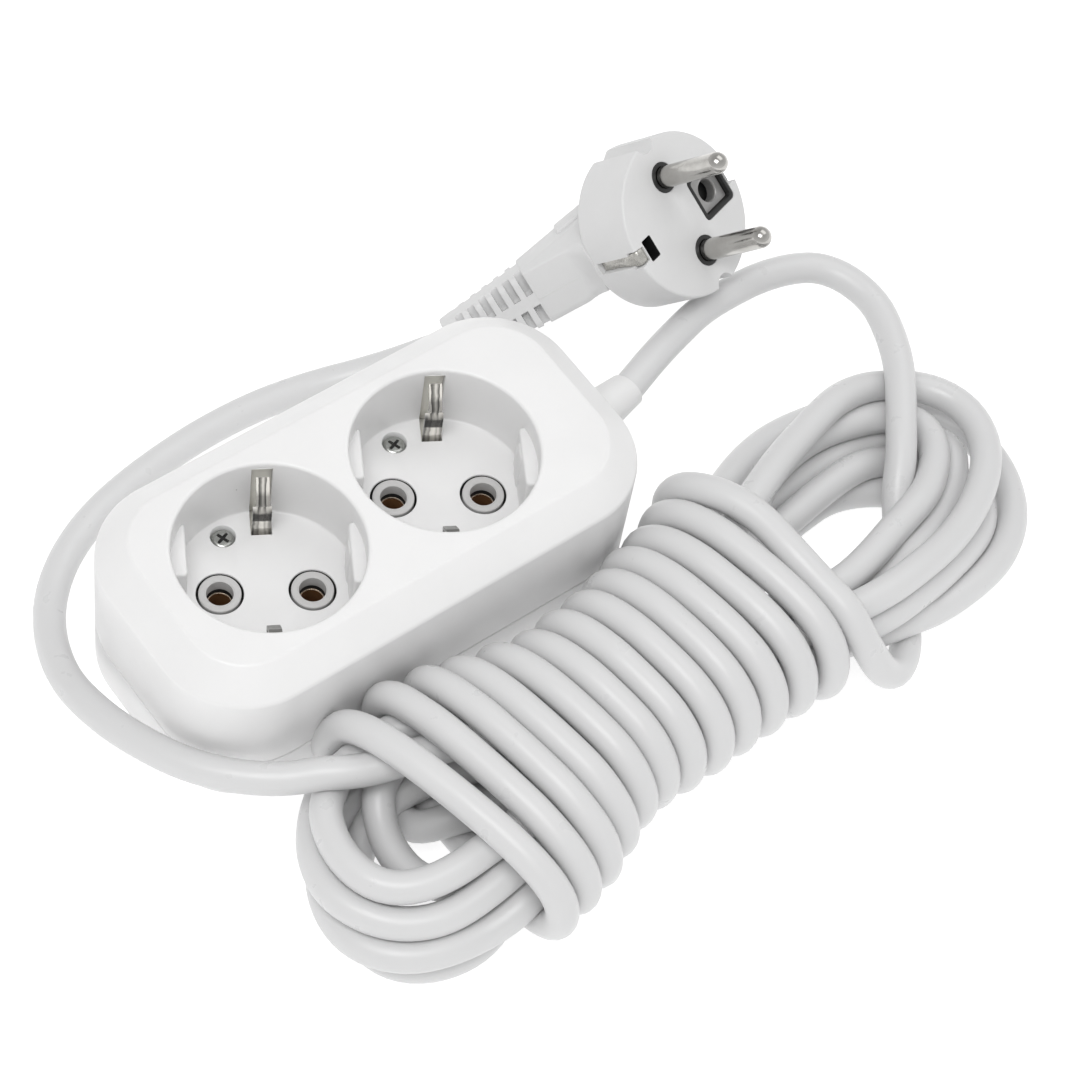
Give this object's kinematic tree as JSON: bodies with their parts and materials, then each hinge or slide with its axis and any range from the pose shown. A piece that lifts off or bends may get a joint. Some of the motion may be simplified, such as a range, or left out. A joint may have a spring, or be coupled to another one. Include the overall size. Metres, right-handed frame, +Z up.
{
  "type": "extension cord",
  "caption": "Extension cord: oblong socket block with recessed earthed outlets, a long round cord tied in a hank, and an angled moulded plug with round pins.",
  "frame": {"origin": "centre of the socket block's underside, on the surface it stands on", "axes": "+X along the block's long side towards the end the cord leaves, +Y towards the side the plug lies on, +Z up out of the sockets"},
  "size_m": [0.2094, 0.1457, 0.0671],
  "materials": {
    "cover_plastic": "satin moulded white",
    "base_plastic": "satin moulded white",
    "carrier_plastic": "matt grey insulator",
    "contact_brass": "plain stamped",
    "earth_nickel": "bright nickel plate",
    "screw_zinc": "zinc plate",
    "grommet_pvc": "soft white",
    "sheath_pvc": "soft white, slight sheen",
    "core_brown": "smooth",
    "core_blue": "smooth",
    "core_green_yellow": "smooth, striped",
    "plug_pvc": "satin over-moulded white",
    "bridge_black": "matt black",
    "pin_nickel": "bright nickel plate"
  },
  "bodies": {
    "block": {"housing_cover": "cover_plastic", "outlet_wall_1": "cover_plastic", "outlet_wall_2": "cover_plastic", "outlet_floor_1": "cover_plastic", "outlet_floor_2": "cover_plastic", "housing_base": "base_plastic", "contact_carrier_1": "carrier_plastic", "contact_carrier_2": "carrier_plastic", "live_bar": "contact_brass", "neutral_bar": "contact_brass", "earth_strip": "earth_nickel", "cover_screws": "screw_zinc", "terminal_screws": "screw_zinc", "cord_clamp": "carrier_plastic", "clamp_screws": "screw_zinc", "cord_grommet": "grommet_pvc", "cord_inner": "sheath_pvc", "wire_live": "core_brown", "wire_neutral": "core_blue", "wire_earth": "core_green_yellow", "plug_body": "plug_pvc", "plug_bridge": "bridge_black", "plug_pin_a": "pin_nickel", "plug_pin_b": "pin_nickel", "plug_earth_contact": "earth_nickel", "cord_lead_block": "sheath_pvc", "cord_lead_plug": "sheath_pvc", "cord_hank": "sheath_pvc"},
    "clip_1_far": {"earth_clip_1_far": "earth_nickel"},
    "clip_1_near": {"earth_clip_1_near": "earth_nickel"},
    "clip_2_far": {"earth_clip_2_far": "earth_nickel"},
    "clip_2_near": {"earth_clip_2_near": "earth_nickel"}
  },
  "joints": [
    {"name": "clip_1_far_flex", "type": "hinge", "parent": "block", "child": "clip_1_far", "pos_m": [-0.0179, 0.0129, 0.0219], "axis": [-0.866, 0.5, 0], "range_deg": [0, 7], "stiffness_Nm_per_rad": 1},
    {"name": "clip_1_near_flex", "type": "hinge", "parent": "block", "child": "clip_1_near", "pos_m": [-0.0328, -0.0129, 0.0219], "axis": [0.866, -0.5, 0], "range_deg": [0, 7], "stiffness_Nm_per_rad": 1},
    {"name": "clip_2_far_flex", "type": "hinge", "parent": "block", "child": "clip_2_far", "pos_m": [0.0256, 0.0129, 0.0219], "axis": [-0.866, 0.5, 0], "range_deg": [0, 7], "stiffness_Nm_per_rad": 1},
    {"name": "clip_2_near_flex", "type": "hinge", "parent": "block", "child": "clip_2_near", "pos_m": [0.0107, -0.0129, 0.0219], "axis": [0.866, -0.5, 0], "range_deg": [0, 7], "stiffness_Nm_per_rad": 1}
  ]
}
